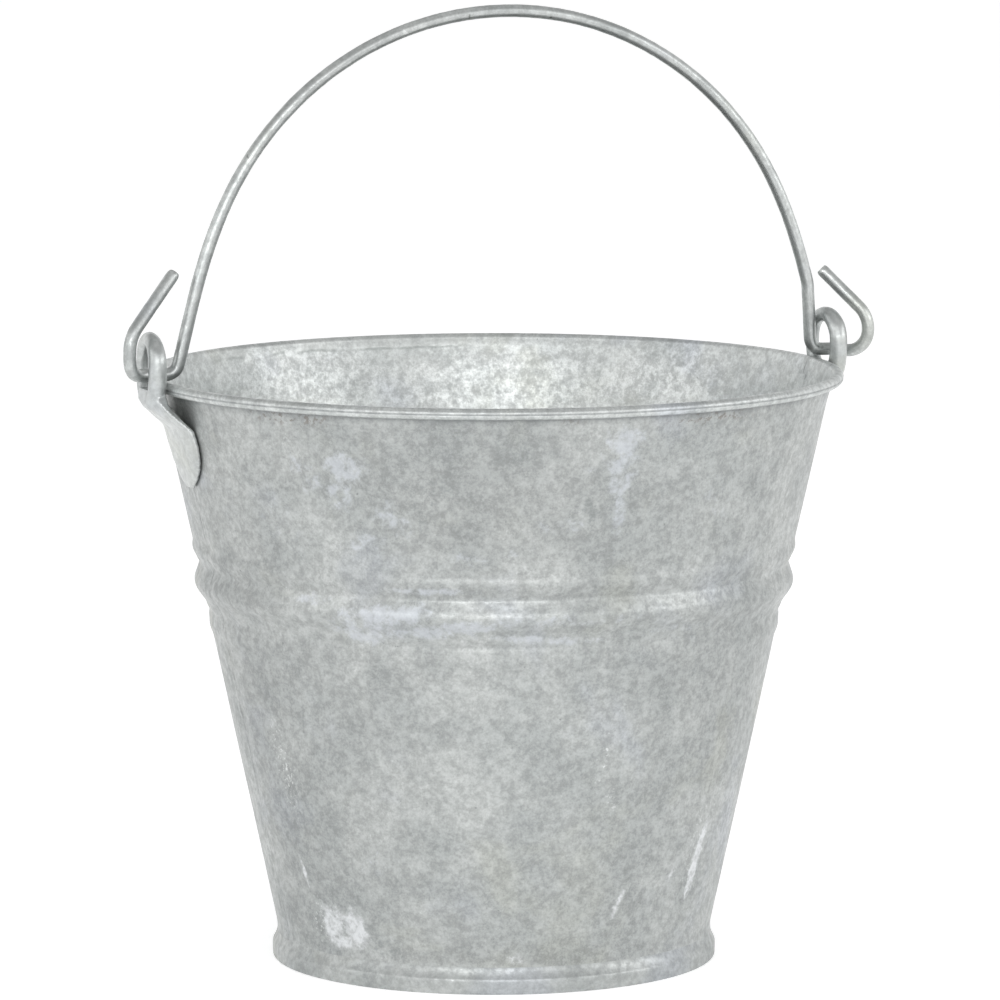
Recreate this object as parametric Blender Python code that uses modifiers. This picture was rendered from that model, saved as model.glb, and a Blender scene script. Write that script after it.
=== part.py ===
"""Florist bucket: a hot-dip galvanised steel pail with a wire bail.

The wall is two half sheets that meet at lock seams under the ears. Its top edge is curled outward
round a wire, and its bottom edge stands in a foot hoop, with a domed bottom set up inside it. A forged
ear is welded outside the rim at each end of X, and the bail's turned-out ends swing in the two ears.

Origin: centre of the base, on the floor. +X points to the right ear, +Z up. Metres.
"""

from math import cos, pi, radians, sin, tan

import bmesh
import bpy
from mathutils import Vector

# ---- Wall ----
SHEET = 0.0008
GAP = 0.0003  # clearance between pieces that touch
RIM_R = 0.1400  # outside radius of the curled rim
RIM_TOP = 0.2369
CURL_R = 0.0023  # outside radius of the curl's own section
CURL_END = -125  # degrees round the rim wire at which the curl stops, above the wall
WALL_LOW_Z = 0.0012
WALL_LINE = (  # (height, outside radius) of the plain wall, foot to rim
    (WALL_LOW_Z, 0.0875),
    (0.0090, 0.0875),
    (0.0130, 0.0872),
    (0.1400, 0.1146),
    (0.1680, 0.1204),
    (0.2250, 0.1331),
    (0.2320, 0.1352),
)
BEADS = (  # (height, width, depth) of the bands pressed in the wall
    (0.1350, 0.0080, 0.0006),
    (0.1415, 0.0050, -0.0007),
    (0.1522, 0.0160, 0.0030),
    (0.1606, 0.0050, -0.0007),
    (0.1664, 0.0070, 0.0009),
)
BEAD_LOW_Z = 0.1300
BEAD_HIGH_Z = 0.1706
BEAD_STEPS = 17
HALF_STEPS = 24  # turning steps in half a turn
WALL_MEAN_R = 0.1100  # where the gap between the half sheets is measured

# ---- Lock seams, folded to the inside of the wall ----
SEAM_WIDTH = 0.0075
SEAM_FOLD = 0.0010
SEAM_CLEAR = 0.0006  # the wall is faceted, so its fold stands this far off the other half
SEAM_LOW_Z = 0.0150
SEAM_HIGH_Z = 0.2300

# ---- Foot and bottom ----
HOOP_R = 0.0893
HOOP_INNER_R = 0.0878
HOOP_HEIGHT = 0.0118
HOOP_LIP = 0.0009  # thickness of the lip turned in under the wall
HOOP_LIP_R = 0.0857
BOTTOM_R = 0.0860
BOTTOM_Z = 0.0092
BOTTOM_DOME = 0.0022

# ---- Rim wire ----
RIM_WIRE_R = 0.0012

# ---- Ears ----
EAR_X = 0.1436  # distance of the ear loops from the bucket's axis
EAR_ROD_R = 0.0028
LOOP_HALF_WIDTH = 0.0097
LOOP_MIDDLE_Z = 0.2443
LOOP_RISE = 0.0097
LOOP_DROP = 0.0147
RIGHT_TWIST = radians(10)
LEAF_ROWS = (  # (height, thickness, half width) down the ear's neck and leaf
    (0.2345, 0.0050, 0.0062),
    (0.2305, 0.0054, 0.0092),
    (0.2265, 0.0050, 0.0125),
    (0.2225, 0.0042, 0.0158),
    (0.2180, 0.0034, 0.0178),
    (0.2125, 0.0027, 0.0187),
    (0.2070, 0.0024, 0.0176),
    (0.2020, 0.0022, 0.0142),
    (0.1978, 0.0019, 0.0092),
    (0.1948, 0.0014, 0.0038),
)
NECK_INNER_R = 0.1409
NECK_Z = 0.2300  # the neck leans in to the wall below this height
LEAF_Z = 0.2190  # and lies on the wall from here down
LEAF_COLUMNS = 8

# ---- Bail ----
WIRE_R = 0.0026
PIVOT_Z = RIM_TOP + GAP + WIRE_R
BAIL_TOP_Z = 0.3800
BAIL_SHIFT = 0.0047  # the bail rests slid towards the right ear
ARCH_R = 0.1295
ARCH_ROUND = 0.1310  # length of the round part, from the top
ARCH_EASE = 0.1000  # length over which it straightens into a leg
LEG_LOW_Z = 0.2680
ARCH_STEP = 0.0075
LEFT_END = (  # (x, y, height, bend radius) down the left leg, out through the ear and up the hook
    (-0.1330, 0.0000, PIVOT_Z, 0.0050),
    (-0.1455, 0.0000, PIVOT_Z, 0.0100),
    (-0.1538, -0.0058, PIVOT_Z + 0.0004, 0.0062),
    (-0.1537, -0.0060, 0.2555, 0.0140),
    (-0.1334, 0.0000, 0.2800, 0.0),
)
RIGHT_END = (
    (0.1370, 0.0000, PIVOT_Z, 0.0046),
    (0.1480, 0.0000, PIVOT_Z, 0.0100),
    (0.1588, -0.0080, 0.2378, 0.0085),
    (0.1587, -0.0086, 0.2535, 0.0120),
    (0.1414, 0.0000, 0.2726, 0.0),
)

ZINC = (0.44, 0.47, 0.46)


def clear_scene():
    for thing in list(bpy.data.objects):
        bpy.data.objects.remove(thing, do_unlink=True)


def new_collection(name):
    made = bpy.data.collections.new(name)
    bpy.context.scene.collection.children.link(made)
    return made


def zinc(name, shade, roughness):
    """Hot-dip zinc; each piece has its own shade of it."""
    made = bpy.data.materials.new(name)
    made.use_nodes = True
    colour = (*[c * shade for c in ZINC], 1.0)
    made.diffuse_color = colour
    shader = made.node_tree.nodes["Principled BSDF"]
    shader.inputs["Base Color"].default_value = colour
    shader.inputs["Roughness"].default_value = roughness
    shader.inputs["Metallic"].default_value = 0.85
    return made


def add_object(name, data, collection, mat=None):
    made = bpy.data.objects.new(name, data)
    collection.objects.link(made)
    if mat is not None:
        made.data.materials.append(mat)
    return made


def as_guide(made):
    made.hide_render = True
    made.display_type = "WIRE"
    return made


def smooth(made):
    made.data.shade_smooth()
    made.data.set_sharp_from_angle(angle=radians(40))


def turned(name, profile, collection, mat=None, closed=False, start=0.0, angle=2 * pi, steps=None):
    """A profile of (radius, height) pairs, running down its outer side, turned about Z."""
    mesh = bpy.data.meshes.new(name)
    points = [(r, 0.0, z) for r, z in profile]
    edges = [(i, i + 1) for i in range(len(points) - 1)]
    if closed:
        edges.append((len(points) - 1, 0))
    mesh.from_pydata(points, edges, [])
    made = add_object(name, mesh, collection, mat)
    made.rotation_euler.z = start
    screw = made.modifiers.new("turn", "SCREW")
    screw.axis = "Z"
    screw.angle = angle
    screw.steps = steps or 2 * HALF_STEPS
    screw.render_steps = screw.steps
    screw.use_merge_vertices = True
    screw.merge_threshold = 0.00001
    screw.use_smooth_shade = True
    return made


def thicken(made, thickness):
    solid = made.modifiers.new("sheet", "SOLIDIFY")
    solid.thickness = thickness
    solid.offset = 0.0
    solid.use_even_offset = True


def join_with(made, other):
    union = made.modifiers.new("join " + other.name, "BOOLEAN")
    union.operation = "UNION"
    union.solver = "EXACT"
    union.object = other


def line_radius(z):
    """Outside radius of the plain wall, without its beads."""
    for (z0, r0), (z1, r1) in zip(WALL_LINE, WALL_LINE[1:]):
        if z <= z1:
            return r0 + (r1 - r0) * (z - z0) / (z1 - z0)
    return WALL_LINE[-1][1]


def wall_radius(z):
    """Outside radius of the wall, with its pressed beads and grooves."""
    radius = line_radius(z)
    for middle, width, depth in BEADS:
        t = abs(z - middle) / (width / 2)
        if t < 1:
            radius += depth * cos(t * pi / 2) ** 2
    return radius


def wall_heights():
    """Heights of the wall's section points, close together only across the beads."""

    beads = [BEAD_LOW_Z + (BEAD_HIGH_Z - BEAD_LOW_Z) * i / BEAD_STEPS for i in range(BEAD_STEPS + 1)]
    return [WALL_LOW_Z, 0.0090, 0.0130, 0.0700, *beads, 0.2000, 0.2250, 0.2320]


def wall_profile():
    """Middle line of the sheet: from the end of the curl, over the rim wire and down the wall."""
    middle_r = RIM_R - CURL_R
    middle_z = RIM_TOP - CURL_R
    sheet_r = CURL_R - SHEET / 2
    curl_steps = 11
    profile = []
    for i in range(curl_steps + 1):
        a = radians(CURL_END + (180 - CURL_END) * i / curl_steps)
        profile.append((middle_r + sheet_r * cos(a), middle_z + sheet_r * sin(a)))
    for z in reversed(wall_heights()):
        profile.append((wall_radius(z) - SHEET / 2, z))
    return profile


def seam_profile(inset):
    """A line down the inside of the wall, inset from its inner face."""
    heights = [z for z in wall_heights() if SEAM_LOW_Z < z < SEAM_HIGH_Z]
    heights = [SEAM_LOW_Z, *heights, SEAM_HIGH_Z]
    return [(wall_radius(z) - SHEET - inset, z) for z in reversed(heights)]


def half_sheet(name, start, collection, mat):
    """Half of the wall; its first edge carries the seam fold that laps the other half inside."""
    joint = GAP / 2 / WALL_MEAN_R
    made = turned(
        name,
        wall_profile(),
        collection,
        mat,
        start=start + joint,
        angle=pi - 2 * joint,
        steps=HALF_STEPS,
    )
    thicken(made, SHEET)
    return made


def add_seam(made, start, guides):
    """The fold inside the wall: one strip across the joint, and one tying it to this half."""
    half = SEAM_WIDTH / 2 / WALL_MEAN_R
    across = turned(
        made.name + "_fold",
        seam_profile(SEAM_CLEAR + SEAM_FOLD / 2),
        guides,
        start=start - half,
        angle=2 * half,
        steps=4,
    )
    thicken(across, SEAM_FOLD)
    tie = turned(
        made.name + "_tie",
        seam_profile(0.0003),
        guides,
        start=start + half * 0.2,
        angle=half * 0.7,
        steps=2,
    )
    thicken(tie, 0.0014)
    for strip in (across, tie):
        join_with(made, as_guide(strip))


def polyline(name, points, radius, collection, mat=None, cyclic=False):
    """Round wire along a list of points."""
    curve = bpy.data.curves.new(name, "CURVE")
    curve.dimensions = "3D"
    curve.bevel_depth = radius
    curve.bevel_resolution = 2
    curve.use_fill_caps = True
    spline = curve.splines.new("POLY")
    spline.points.add(len(points) - 1)
    for point, place in zip(spline.points, points):
        point.co = (*place, 1.0)
    spline.use_cyclic_u = cyclic
    spline.use_smooth = True
    return add_object(name, curve, collection, mat)


def curve_to_mesh(made, collection):
    """The same object as a closed mesh, so that it can be joined to another."""
    graph = bpy.context.evaluated_depsgraph_get()
    mesh = bpy.data.meshes.new_from_object(made.evaluated_get(graph))
    name = made.name
    place = made.matrix_world.copy()
    bm = bmesh.new()
    bm.from_mesh(mesh)
    bmesh.ops.remove_doubles(bm, verts=bm.verts, dist=0.00001)
    bm.to_mesh(mesh)
    bm.free()
    bpy.data.objects.remove(made, do_unlink=True)
    mesh.name = name
    meshed = add_object(name, mesh, collection)
    meshed.matrix_world = place
    return meshed


def loop_points(count=30):
    """Middle line of the ear's loop, egg-shaped, in the plane across the bucket's radius."""
    points = []
    for i in range(count):
        a = 2 * pi * i / count
        reach = LOOP_RISE if sin(a) > 0 else LOOP_DROP
        points.append((0.0, LOOP_HALF_WIDTH * cos(a), LOOP_MIDDLE_Z + reach * sin(a)))
    return points


def leaf_inner_radius(z):
    """Radius of the ear's inner face: straight past the rim, then in to the wall and down it."""
    on_wall = line_radius(z) + GAP
    if z >= NECK_Z:
        return NECK_INNER_R
    if z <= LEAF_Z:
        return on_wall
    t = (z - LEAF_Z) / (NECK_Z - LEAF_Z)
    return on_wall + (NECK_INNER_R - on_wall) * t


def leaf_mesh(name):
    """The neck and leaf: a loft that goes from a thick narrow neck to a thin wide leaf."""
    bm = bmesh.new()
    rows = []
    for z, thickness, half_width in LEAF_ROWS:
        inner_r = leaf_inner_radius(z)
        outer = []
        inner = []
        for i in range(LEAF_COLUMNS + 1):
            side = 2 * i / LEAF_COLUMNS - 1
            angle = side * half_width / inner_r
            depth = thickness * (1 - 0.55 * side**4)
            outer_r = inner_r + depth
            outer.append(bm.verts.new((outer_r * cos(angle), outer_r * sin(angle), z)))
            inner.append(bm.verts.new((inner_r * cos(angle), inner_r * sin(angle), z)))
        rows.append(outer + inner[::-1])
    for upper, lower in zip(rows, rows[1:]):
        for i in range(len(upper)):
            j = (i + 1) % len(upper)
            bm.faces.new((upper[i], upper[j], lower[j], lower[i]))
    for ring in (rows[0], rows[-1]):
        for i in range(LEAF_COLUMNS):
            bm.faces.new((ring[i], ring[i + 1], ring[-2 - i], ring[-1 - i]))
    bmesh.ops.recalc_face_normals(bm, faces=bm.faces)
    mesh = bpy.data.meshes.new(name)
    bm.to_mesh(mesh)
    bm.free()
    return mesh


def make_ear(name, turn, twist, collection, guides, mat):
    """One ear: the leaf on the wall with the loop above it. turn is 0 for +X, pi for -X."""
    made = add_object(name, leaf_mesh(name), collection, mat)
    made.rotation_euler.z = turn
    loop = polyline(name + "_loop", loop_points(), EAR_ROD_R, guides, None, True)
    loop.rotation_euler.z = turn + twist
    loop.location = (EAR_X * cos(turn), EAR_X * sin(turn), 0.0)
    bpy.context.view_layer.update()
    join_with(made, as_guide(curve_to_mesh(loop, guides)))
    smooth(made)
    return made


def arch_half():
    """The bail's arch, as (x, height), from its top to the leg: round, then easing straight."""
    x = 0.0
    z = BAIL_TOP_Z
    points = [(x, z)]
    s = 0.0
    while z > LEG_LOW_Z:
        along = s + ARCH_STEP / 2
        eased = min(max(along - ARCH_ROUND, 0.0), ARCH_EASE)
        heading = (min(along, ARCH_ROUND) + eased - eased**2 / (2 * ARCH_EASE)) / ARCH_R
        x += ARCH_STEP * cos(heading)
        z -= ARCH_STEP * sin(heading)
        s += ARCH_STEP
        points.append((x, z))
    return points


def rounded(start, corners, steps=5):
    """Points from start through the corners, each corner replaced by an arc of its radius."""
    places = [Vector(start)] + [Vector(c[:3]) for c in corners]
    points = []
    for i in range(1, len(places) - 1):
        back = (places[i - 1] - places[i]).normalized()
        ahead = (places[i + 1] - places[i]).normalized()
        radius = corners[i - 1][3]
        half_angle = back.angle(ahead) / 2
        cut = radius / tan(half_angle)
        centre = places[i] + (back + ahead).normalized() * radius / sin(half_angle)
        first = places[i] + back * cut - centre
        last = places[i] + ahead * cut - centre
        for k in range(steps + 1):
            t = k / steps
            spoke = (first * (1 - t) + last * t).normalized() * radius
            points.append(tuple(centre + spoke))
    points.append(tuple(places[-1]))
    return points


def bail_points():
    """The whole bail, relative to its pivot line. Only the hooks stand a little out of its plane."""
    half = arch_half()
    left = [(BAIL_SHIFT - x, 0.0, z) for x, z in half]
    right = [(BAIL_SHIFT + x, 0.0, z) for x, z in half]
    left += rounded(left[-1], LEFT_END)
    right += rounded(right[-1], RIGHT_END)
    return [(x, y, z - PIVOT_Z) for x, y, z in left[::-1] + right[1:]]


def hoop_profile():
    """The foot hoop's section: feathered against the wall above, and with a lip turned in below."""
    return [
        (HOOP_INNER_R, HOOP_HEIGHT),
        (HOOP_INNER_R + 0.0003, HOOP_HEIGHT),
        (HOOP_R - 0.0008, 0.0080),
        (HOOP_R - 0.0002, 0.0060),
        (HOOP_R, 0.0048),
        (HOOP_R, 0.0010),
        (HOOP_R - 0.0008, 0.0),
        (HOOP_LIP_R + 0.0003, 0.0),
        (HOOP_LIP_R, 0.0003),
        (HOOP_LIP_R, HOOP_LIP),
        (HOOP_INNER_R, HOOP_LIP),
    ]


def bottom_profile():
    """Middle line of the bottom: the flange inside the wall's foot, a rounded corner and the dome."""
    profile = [(BOTTOM_R, 0.0016), (BOTTOM_R, BOTTOM_Z - 0.0030)]
    for a in (30, 60, 90):
        profile.append(
            (BOTTOM_R - 0.0030 * (1 - cos(radians(a))), BOTTOM_Z - 0.0030 * (1 - sin(radians(a))))
        )
    for part in (0.8, 0.6, 0.4, 0.2, 0.0):
        profile.append((BOTTOM_R * part, BOTTOM_Z + BOTTOM_DOME * (1 - part**2)))
    return profile[::-1]



clear_scene()
bucket = new_collection("florist_bucket")
guides = new_collection("cutters")

front = half_sheet("body_sheet_front", pi, bucket, zinc("zinc_front", 1.0, 0.42))
rear = half_sheet("body_sheet_rear", 0.0, bucket, zinc("zinc_rear", 0.99, 0.42))
add_seam(front, pi, guides)
add_seam(rear, 0.0, guides)

turned("foot_hoop", hoop_profile(), bucket, zinc("zinc_hoop", 0.97, 0.45), closed=True)
bottom = turned("bottom_disc", bottom_profile(), bucket, zinc("zinc_bottom", 0.95, 0.5))
thicken(bottom, SHEET)

ring = [2 * pi * i / (2 * HALF_STEPS) for i in range(2 * HALF_STEPS)]
rim_line = [((RIM_R - CURL_R) * cos(a), (RIM_R - CURL_R) * sin(a), RIM_TOP - CURL_R) for a in ring]
polyline("rim_wire", rim_line, RIM_WIRE_R, bucket, zinc("zinc_rim_wire", 0.9, 0.5), True)

make_ear("right_ear", 0.0, RIGHT_TWIST, bucket, guides, zinc("zinc_right_ear", 1.04, 0.38))
make_ear("left_ear", pi, 0.0, bucket, guides, zinc("zinc_left_ear", 1.05, 0.38))

bail = polyline("bail", bail_points(), WIRE_R, bucket, zinc("zinc_bail", 1.02, 0.36))
bail.location.z = PIVOT_Z
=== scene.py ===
"""Florist bucket: the visual model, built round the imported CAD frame.

The wall halves, bottom, foot hoop, ears and bail are remade here with fine meshes, in the places of
their CAD nodes, and everything has a weathered hot-dip zinc finish made of shader nodes. Lengths are
in metres, with the origin at the centre of the base, +X towards the right ear and +Z up.
"""

from math import cos, pi, radians, sin, sqrt, tan

import bmesh
import bpy
import numpy as np
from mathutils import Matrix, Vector, noise


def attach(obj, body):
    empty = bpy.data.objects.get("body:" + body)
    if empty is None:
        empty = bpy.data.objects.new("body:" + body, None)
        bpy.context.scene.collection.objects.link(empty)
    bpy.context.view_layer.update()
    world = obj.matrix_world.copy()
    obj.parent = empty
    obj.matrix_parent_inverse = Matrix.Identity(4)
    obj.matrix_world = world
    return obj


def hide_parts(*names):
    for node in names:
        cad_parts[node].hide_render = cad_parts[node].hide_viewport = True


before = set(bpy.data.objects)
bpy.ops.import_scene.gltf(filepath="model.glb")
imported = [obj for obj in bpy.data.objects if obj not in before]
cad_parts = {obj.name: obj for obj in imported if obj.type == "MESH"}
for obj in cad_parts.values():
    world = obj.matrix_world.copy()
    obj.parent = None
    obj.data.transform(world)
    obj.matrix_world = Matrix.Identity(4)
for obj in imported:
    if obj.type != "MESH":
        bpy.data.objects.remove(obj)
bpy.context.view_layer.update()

# ---- Wall ----
SHEET = 0.0008
GAP = 0.0003  # clearance between pieces that touch
RIM_R = 0.1399
RIM_TOP = 0.2369
CURL_R = 0.0023
CURL_END = -125  # degrees round the curl at which the sheet stops
WALL_LOW_Z = 0.0012
WALL_LINE = (  # (height, outside radius) of the plain wall, foot to rim
    (WALL_LOW_Z, 0.0875),
    (0.0090, 0.0875),
    (0.0130, 0.0872),
    (0.1400, 0.1146),
    (0.1680, 0.1204),
    (0.2250, 0.1331),
    (0.2320, 0.1352),
)
BEADS = (  # (height, width, depth) of the bands pressed in the wall
    (0.1350, 0.0080, 0.0006),
    (0.1415, 0.0050, -0.0007),
    (0.1522, 0.0160, 0.0030),
    (0.1606, 0.0050, -0.0007),
    (0.1664, 0.0070, 0.0009),
)
BEAD_SPAN = (0.1300, 0.1710)
WALL_MEAN_R = 0.1200  # turns an angle round the wall into a length along it
WALL_STEPS = 400  # steps round half a turn
CURL_STEPS = 36
CREASE_ANGLE = -4  # degrees round the curl at which its pressed crease lies
CREASE_WIDTH = 8  # degrees
CREASE_DEPTH = 0.00036
CURL_FOOT_Z = 0.2335  # below here the wall may stand out of true
SEAM_WIDTH = 0.0075
SEAM_DEPTH = 0.0016
SEAM_STEP_IN = 0.00028  # the wall steps in this far where it meets the other half
SEAM_LOW_Z = 0.0150
SEAM_HIGH_Z = 0.2300

# ---- Foot and bottom ----
HOOP_R = 0.0893
HOOP_INNER_R = 0.0878
HOOP_TOP_Z = 0.0106
HOOP_LIP = 0.0009
HOOP_LIP_R = 0.0857
BOTTOM_R = 0.0860
BOTTOM_Z = 0.0092
BOTTOM_DOME = 0.0022
BOTTOM_CORNER = 0.0030
BOTTOM_LOW_Z = 0.0016

# ---- Ears ----
EAR_X = 0.1436
EAR_ROD_R = 0.0028
LOOP_HALF_WIDTH = 0.0097
LOOP_MIDDLE_Z = 0.2443
LOOP_RISE = 0.0097
LOOP_DROP = 0.0147
RIGHT_TWIST = radians(10)
LEAF_ROWS = (  # (height, thickness, half width) down the ear's neck and leaf
    (0.2345, 0.0056, 0.0106),
    (0.2305, 0.0060, 0.0126),
    (0.2265, 0.0055, 0.0146),
    (0.2225, 0.0043, 0.0163),
    (0.2180, 0.0034, 0.0178),
    (0.2125, 0.0027, 0.0187),
    (0.2070, 0.0024, 0.0176),
    (0.2020, 0.0022, 0.0142),
    (0.1978, 0.0019, 0.0092),
    (0.1948, 0.0014, 0.0038),
)
NECK_INNER_R = 0.1409
NECK_Z = 0.2300  # the neck leans in to the wall below this height
LEAF_Z = 0.2190  # and lies on the wall from here down
EAR_VOXEL = 0.00045

# ---- Bail ----
WIRE_R = 0.0026
PIVOT_Z = 0.2398
BAIL_TOP_Z = 0.3800
BAIL_SHIFT = 0.0047  # the bail rests slid towards the right ear
ARCH_R = 0.1295
ARCH_ROUND = 0.1310  # length of the round part, from the top
ARCH_EASE = 0.1000  # length over which it straightens into a leg
LEG_LOW_Z = 0.2680
BAIL_STEP = 0.0008
LEFT_END = (  # (x, y, height, bend radius) down the left leg, out through the ear and up the hook
    (-0.1330, 0.0000, PIVOT_Z, 0.0050),
    (-0.1455, 0.0000, PIVOT_Z, 0.0100),
    (-0.1538, -0.0058, PIVOT_Z + 0.0004, 0.0062),
    (-0.1537, -0.0060, 0.2555, 0.0140),
    (-0.1334, 0.0000, 0.2800, 0.0),
)
RIGHT_END = (
    (0.1370, 0.0000, PIVOT_Z, 0.0046),
    (0.1480, 0.0000, PIVOT_Z, 0.0100),
    (0.1588, -0.0080, 0.2378, 0.0085),
    (0.1587, -0.0086, 0.2535, 0.0120),
    (0.1414, 0.0000, 0.2726, 0.0),
)

# ---- Looks and light ----
METALLIC = 0.8
ZINC_BUMP = 0.00012  # depth of the coat's relief
WALL_TONE = 0.84
INSIDE_TONE = 1.36
TONE_REACH = 0.13  # how far the broad light and dark areas change the wall
RUN_Z = 0.2322
RUN_WAVE = 0.0060
RUN_SPAN = (74, 128)  # degrees round the inside where the run shows
PALE_COLOUR = (0.60, 0.63, 0.675)
DARK_COLOUR = (0.215, 0.235, 0.235)
RUST_COLOUR = (0.78, 0.795, 0.81)
SPECK_COLOUR = (0.80, 0.82, 0.82)
GRIME_COLOUR = (0.20, 0.175, 0.155)
PIT_COLOUR = (0.16, 0.17, 0.17)
# colour of the painted shade in the rim's crease, under its curl and just under the rim
CREASE_SHADE_COLOUR = (0.16, 0.17, 0.175)
FLOOR_GLOW = 0.48
WORLD_LOW = 1.08  # the sky's strength near the horizon
WORLD_HIGH = 0.38  # and overhead
LIGHT_AIM_Z = 0.2

# Marks on the outer wall, each (degrees round, height, width, tallness, lean in degrees, strength),
# with the three lengths in millimetres.
WHITE_RUST = (
    (-155.0, 24.0, 20, 17, 8, 0.62),
    (-147.5, 23.0, 17, 15, -30, 0.85),
    (-152.0, 17.0, 20, 6, 0, 0.60),
    (-52.2, 46.0, 7, 36, -14, 0.75),
    (-61.5, 44.0, 9, 4, 35, 0.45),
    (-104.0, 14.0, 15, 5, -8, 0.40),
    (-78.0, 34.5, 4, 17, -32, 0.55),
    (-163.0, 44.0, 3, 22, 18, 0.50),
    (28.0, 26.0, 26, 14, 12, 0.70),
    (104.0, 58.0, 6, 30, 20, 0.55),
    (148.0, 19.0, 30, 10, -6, 0.60),
)
SPECKLED = (
    (-163.0, 86.0, 14, 40, 8, 0.60),
    (-86.0, 94.0, 6, 24, -12, 0.65),
    (-83.0, 78.0, 8, 14, 20, 0.40),
    (-160.0, 24.0, 14, 20, 0, 0.50),
    (-54.0, 52.0, 12, 40, -10, 0.45),
    (66.0, 90.0, 16, 40, 14, 0.55),
    (132.0, 120.0, 10, 30, -20, 0.50),
)
PALE = (
    (-136.3, 211.0, 19, 15, 10, 0.50),
    (-137.5, 201.0, 12, 14, 25, 0.40),
    (-128.0, 191.0, 15, 15, 0, 0.42),
    (-87.6, 221.0, 17, 18, 0, 0.48),
    (-87.6, 208.0, 12, 20, -4, 0.42),
    (-87.6, 195.0, 6, 20, -6, 0.42),
    (-144.0, 208.0, 14, 22, 30, 0.26),
    (-134.0, 182.0, 22, 8, 8, 0.28),
    (-93.5, 212.0, 5, 5, 0, 0.35),
    (-88.0, 212.9, 3.4, 3.4, 0, 0.50),
    (-98.0, 190.0, 20, 7, 4, 0.22),
    (-130.0, 154.0, 40, 9, 4, 0.52),
    (-118.0, 149.0, 52, 7, 5, 0.50),
    (-136.0, 147.0, 30, 12, 0, 0.46),
    (-101.0, 144.5, 50, 4.5, -3, 0.46),
    (-146.0, 158.0, 20, 6, 0, 0.30),
    (-96.0, 152.0, 60, 5, 0, 0.28),
    (-122.5, 163.8, 40, 3.4, 0, 0.50),
    (-70.0, 146.0, 40, 4, 0, 0.22),
    (-140.0, 52.0, 15, 15, 0, 0.20),
    (-112.0, 178.0, 44, 9, 6, 0.16),
    (-152.0, 190.0, 20, 34, 20, 0.14),
    (-66.0, 198.0, 20, 26, 10, 0.14),
    (44.0, 212.0, 14, 30, 6, 0.36),
    (81.0, 206.0, 3, 34, 0, 0.40),
    (120.0, 150.0, 56, 7, 3, 0.42),
    (70.0, 146.0, 40, 5, -4, 0.34),
    (156.0, 196.0, 16, 20, 0, 0.30),
    (96.0, 180.0, 40, 8, -6, 0.20),
)
DARK = (
    (-92.9, 195.0, 8, 15, 8, 0.42),
    (-95.0, 203.0, 10, 10, 0, 0.22),
    (-121.0, 203.0, 24, 18, 0, 0.24),
    (-122.5, 192.0, 4, 12, 10, 0.36),
    (-133.0, 192.0, 3, 12, -10, 0.26),
    (-139.0, 16.5, 18, 7, -10, 0.42),
    (-134.0, 13.5, 14, 4, -16, 0.34),
    (-158.0, 168.5, 36, 5, 0, 0.24),
    (-148.0, 218.0, 14, 5, 0, 0.22),
    (-112.0, 224.0, 30, 8, 0, 0.14),
    (-107.0, 218.0, 16, 12, 0, 0.20),
    (36.0, 17.0, 20, 6, 8, 0.36),
    (128.0, 146.0, 20, 1.8, 0, 0.44),
    (60.0, 204.0, 20, 20, 0, 0.24),
    (78.8, 210.0, 1.6, 26, 0, 0.32),
    (140.0, 208.0, 8, 16, 10, 0.30),
)
GRIME = (
    (-146.0, 230.5, 38, 6, 0, 0.75),
    (-71.0, 230.5, 42, 6, 0, 0.65),
    (-97.0, 232.0, 12, 4, 0, 0.50),
    (52.0, 230.5, 50, 6, 0, 0.60),
    (118.0, 230.5, 40, 6, 0, 0.60),
)
# Broad areas in the same form, which lighten or darken the whole finish; the lighter front middle, the
# darker left side and the dark band round the foot are painted light and painted shade, the rest random
# tone.
LIGHTER_AND_PAINTED_LIGHT = (
    (-103.0, 84.0, 110, 110, 0, 0.60),
    (-142.0, 186.0, 44, 34, 20, 0.35),
    (-72.0, 214.0, 50, 26, 0, 0.30),
    (80.0, 90.0, 120, 100, 0, 0.50),
)
DARKER_AND_PAINTED_SHADE = (
    (-112.0, 203.0, 84, 52, -6, 0.70),
    (-168.0, 112.0, 56, 200, 0, 0.60),
    (-62.0, 130.0, 60, 60, 0, 0.30),
    (-172.0, 205.0, 40, 60, 0, 0.35),
    (-110.0, 12.0, 230, 14, 0, 0.55),
    (60.0, 200.0, 110, 50, 5, 0.60),
    (140.0, 110.0, 70, 120, 0, 0.50),
    (90.0, 12.0, 230, 14, 0, 0.50),
)
# Marks too thin for the mesh's vertices, which are drawn by nodes.
THIN_PALE = (
    (-101.3, 213.0, 2.2, 26, 0, 0.45),
    (-98.6, 214.0, 2, 22, -3, 0.28),
    (-93.4, 183.8, 12, 1.2, -14, 0.60),
    (-108.0, 141.5, 60, 2.5, 0, 0.30),
)
THIN_DARK = (
    (-139.8, 206.0, 2.2, 9, -14, 0.24),
    (-131.6, 212.5, 2.6, 2.6, 0, 0.45),
    (-102.6, 209.0, 1.6, 22, 0, 0.36),
    (-100.3, 210.0, 1.4, 20, 0, 0.30),
    (-101.0, 198.5, 12, 2.6, 0, 0.24),
    (-84.5, 205.0, 1.8, 14, -28, 0.28),
    (-127.0, 147.0, 9, 1.6, -4, 0.50),
    (-119.5, 145.8, 14, 1.8, 2, 0.50),
    (-126.0, 160.2, 30, 1.6, 0, 0.26),
)
MARKS = {"rust": WHITE_RUST, "speckled": SPECKLED, "pale": PALE, "dark": DARK, "grime": GRIME}

# ---- Camera ----
CAMERA_AZIMUTH = radians(-20)
CAMERA_ELEVATION = radians(7.376)
CAMERA_DISTANCE = 2.8
CAMERA_LENS = 251.41
TARGET_RIGHT = 0.0025
TARGET_Z = 0.18406


# ---------------------------------------------------------------- meshes


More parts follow.
